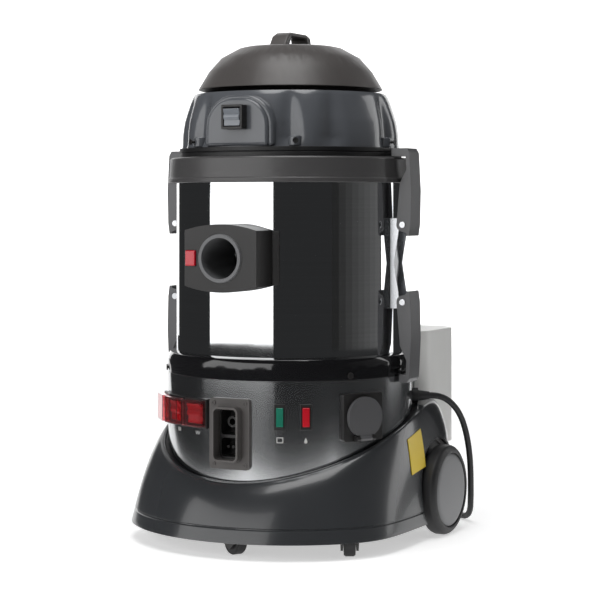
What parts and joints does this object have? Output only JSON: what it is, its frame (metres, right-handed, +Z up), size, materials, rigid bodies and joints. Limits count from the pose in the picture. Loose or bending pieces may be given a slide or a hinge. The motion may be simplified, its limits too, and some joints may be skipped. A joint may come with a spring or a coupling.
{
  "type": "carpet cleaner machine",
  "caption": "Steam and wet-vacuum carpet cleaner: steel drum with latched suction head, boiler housing with switches, wheeled base, rear water tank and mains cord.",
  "frame": {"origin": "middle of the machine's footprint box on the floor, without its cord", "axes": "+Z up, -Y towards the inlet and the switches, +X towards the side with the mains outlet"},
  "size_m": [0.388, 0.576, 0.647],
  "materials": {
    "cover_plastic": "satin moulded plastic, dark grey",
    "gloss_grey_plastic": "glossy moulded plastic, grey",
    "black_plastic": "satin black plastic",
    "gloss_black": "glossy black plastic",
    "rubber": "black rubber",
    "mirror_steel": "polished stainless steel",
    "brushed_steel": "brushed stainless steel",
    "plain_steel": "plain steel",
    "latch_grey": "satin grey plastic",
    "rim_grey": "satin grey plastic",
    "red_plastic": "glossy red plastic",
    "clear_plastic": "clear thin plastic",
    "green_lens": "green lamp lens",
    "red_lens": "red lamp lens",
    "grey_rocker": "grey plastic",
    "base_plastic": "glossy moulded plastic, dark grey",
    "label_yellow": "printed film, blank",
    "hub_grey": "satin grey plastic",
    "tank_white": "translucent white plastic",
    "filter_paper": "pleated filter paper",
    "float_plastic": "pale plastic",
    "motor_metal": "cast aluminium"
  },
  "bodies": {
    "machine": {"top_cover": "cover_plastic", "carry_handle": "cover_plastic", "motor_housing": "gloss_grey_plastic", "head_switch_frame": "black_plastic", "head_seal": "rubber", "head_rim": "rim_grey", "vacuum_motor": "motor_metal", "float_cage": "float_plastic", "cartridge_filter": "filter_paper", "case_screws": "black_plastic", "drum": "mirror_steel", "inlet_flange": "black_plastic", "inlet_body": "black_plastic", "inlet_ring": "hub_grey", "latch_brackets": "plain_steel", "latch_rivets": "plain_steel", "drum_ring": "gloss_black", "boiler_housing": "brushed_steel", "switch_panel": "black_plastic", "switch_covers": "clear_plastic", "steam_socket_plate": "cover_plastic", "steam_socket_core": "black_plastic", "lamp_bezels": "black_plastic", "lamp_green": "green_lens", "lamp_red": "red_lens", "outlet_flange": "black_plastic", "cable_gland": "rubber", "boiler": "motor_metal", "water_pump": "motor_metal", "base_shell": "base_plastic", "floor_pan": "black_plastic", "base_gasket": "rubber", "label_plate": "label_yellow", "rear_axle": "plain_steel", "cord": "rubber", "cord_coil": "rubber", "plug": "rubber"},
    "rocker_main": {"head_rocker": "grey_rocker"},
    "rocker_steam": {"rocker_1": "red_plastic"},
    "rocker_pump": {"rocker_2": "red_plastic"},
    "rocker_heat": {"rocker_3": "red_plastic"},
    "float": {"float_ball": "float_plastic"},
    "release_button": {"inlet_button": "red_plastic"},
    "upper_latch_right": {"latch_upper_right": "latch_grey"},
    "upper_latch_left": {"latch_upper_left": "latch_grey"},
    "lower_latch_right": {"latch_lower_right": "latch_grey"},
    "lower_latch_left": {"latch_lower_left": "latch_grey"},
    "outlet_cover": {"outlet_lid": "latch_grey"},
    "wheel_right": {"tyre_right": "rubber", "wheel_hub_right": "hub_grey"},
    "wheel_left": {"tyre_left": "rubber", "wheel_hub_left": "hub_grey"},
    "caster_front": {"caster_fork_front": "black_plastic"},
    "caster_right": {"caster_fork_right": "black_plastic"},
    "caster_left": {"caster_fork_left": "black_plastic"},
    "roller_front": {"caster_wheel_front": "rubber"},
    "roller_right": {"caster_wheel_right": "rubber"},
    "roller_left": {"caster_wheel_left": "rubber"},
    "tank": {"water_tank": "tank_white"},
    "cap": {"tank_cap": "black_plastic"}
  },
  "joints": [
    {"name": "main_rocker_tilt", "type": "hinge", "parent": "machine", "child": "rocker_main", "pos_m": [0, -0.1625, 0.533], "axis": [1, 0, 0], "range_deg": [-14, 0]},
    {"name": "steam_rocker_tilt", "type": "hinge", "parent": "machine", "child": "rocker_steam", "pos_m": [-0.05172, -0.16194, 0.167], "axis": [0.9466, -0.3223, 0], "range_deg": [-14, 0]},
    {"name": "pump_rocker_tilt", "type": "hinge", "parent": "machine", "child": "rocker_pump", "pos_m": [-0.08975, -0.14306, 0.167], "axis": [0.829, -0.5592, 0], "range_deg": [-14, 0]},
    {"name": "heat_rocker_tilt", "type": "hinge", "parent": "machine", "child": "rocker_heat", "pos_m": [-0.1215, -0.11487, 0.167], "axis": [0.6534, -0.757, 0], "range_deg": [-14, 0]},
    {"name": "float_rise", "type": "slide", "parent": "machine", "child": "float", "axis": [0, 0, 1], "range_m": [0, 0.016]},
    {"name": "button_press", "type": "slide", "parent": "machine", "child": "release_button", "axis": [0, 1, 0], "range_m": [0, 0.004], "stiffness_N_per_m": 400},
    {"name": "upper_right_swing", "type": "hinge", "parent": "machine", "child": "upper_latch_right", "pos_m": [0.166, -0.01, 0.4], "axis": [0, 1, 0], "range_deg": [0, 50]},
    {"name": "upper_left_swing", "type": "hinge", "parent": "machine", "child": "upper_latch_left", "pos_m": [-0.166, -0.01, 0.4], "axis": [0, -1, 0], "range_deg": [0, 50]},
    {"name": "lower_right_swing", "type": "hinge", "parent": "machine", "child": "lower_latch_right", "pos_m": [0.166, -0.01, 0.303], "axis": [0, -1, 0], "range_deg": [0, 50]},
    {"name": "lower_left_swing", "type": "hinge", "parent": "machine", "child": "lower_latch_left", "pos_m": [-0.166, -0.01, 0.303], "axis": [0, 1, 0], "range_deg": [0, 50]},
    {"name": "outlet_lid_swing", "type": "hinge", "parent": "machine", "child": "outlet_cover", "pos_m": [0.14606, -0.09096, 0.139], "axis": [0.4848, 0.8746, 0], "range_deg": [0, 100], "stiffness_Nm_per_rad": 0.02, "springref_deg": -22.92},
    {"name": "right_wheel_spin", "type": "hinge", "parent": "machine", "child": "wheel_right", "pos_m": [0.194, 0.069, 0.0575], "axis": [1, 0, 0], "continuous": true},
    {"name": "left_wheel_spin", "type": "hinge", "parent": "machine", "child": "wheel_left", "pos_m": [-0.194, 0.069, 0.0575], "axis": [1, 0, 0], "continuous": true},
    {"name": "front_caster_swivel", "type": "hinge", "parent": "machine", "child": "caster_front", "pos_m": [0, -0.17, 0.039], "axis": [0, 0, 1], "continuous": true},
    {"name": "front_roller_spin", "type": "hinge", "parent": "caster_front", "child": "roller_front", "pos_m": [0.01212, -0.177, 0.017], "axis": [0.5, 0.866, 0], "continuous": true},
    {"name": "right_caster_swivel", "type": "hinge", "parent": "machine", "child": "caster_right", "pos_m": [0.134, -0.112, 0.039], "axis": [0, 0, 1], "continuous": true},
    {"name": "right_roller_spin", "type": "hinge", "parent": "caster_right", "child": "roller_right", "pos_m": [0.14057, -0.12436, 0.017], "axis": [0.8829, 0.4695, 0], "continuous": true},
    {"name": "left_caster_swivel", "type": "hinge", "parent": "machine", "child": "caster_left", "pos_m": [-0.134, -0.112, 0.039], "axis": [0, 0, 1], "continuous": true},
    {"name": "left_roller_spin", "type": "hinge", "parent": "caster_left", "child": "roller_left", "pos_m": [-0.13969, -0.09921, 0.017], "axis": [-0.9135, -0.4067, 0], "continuous": true},
    {"name": "tank_lift", "type": "slide", "parent": "machine", "child": "tank", "axis": [0, 0, 1], "range_m": [0, 0.12]},
    {"name": "cap_turn", "type": "hinge", "parent": "tank", "child": "cap", "pos_m": [0.07, 0.186, 0.259], "axis": [0, 0, 1], "range_deg": [0, 270]}
  ]
}
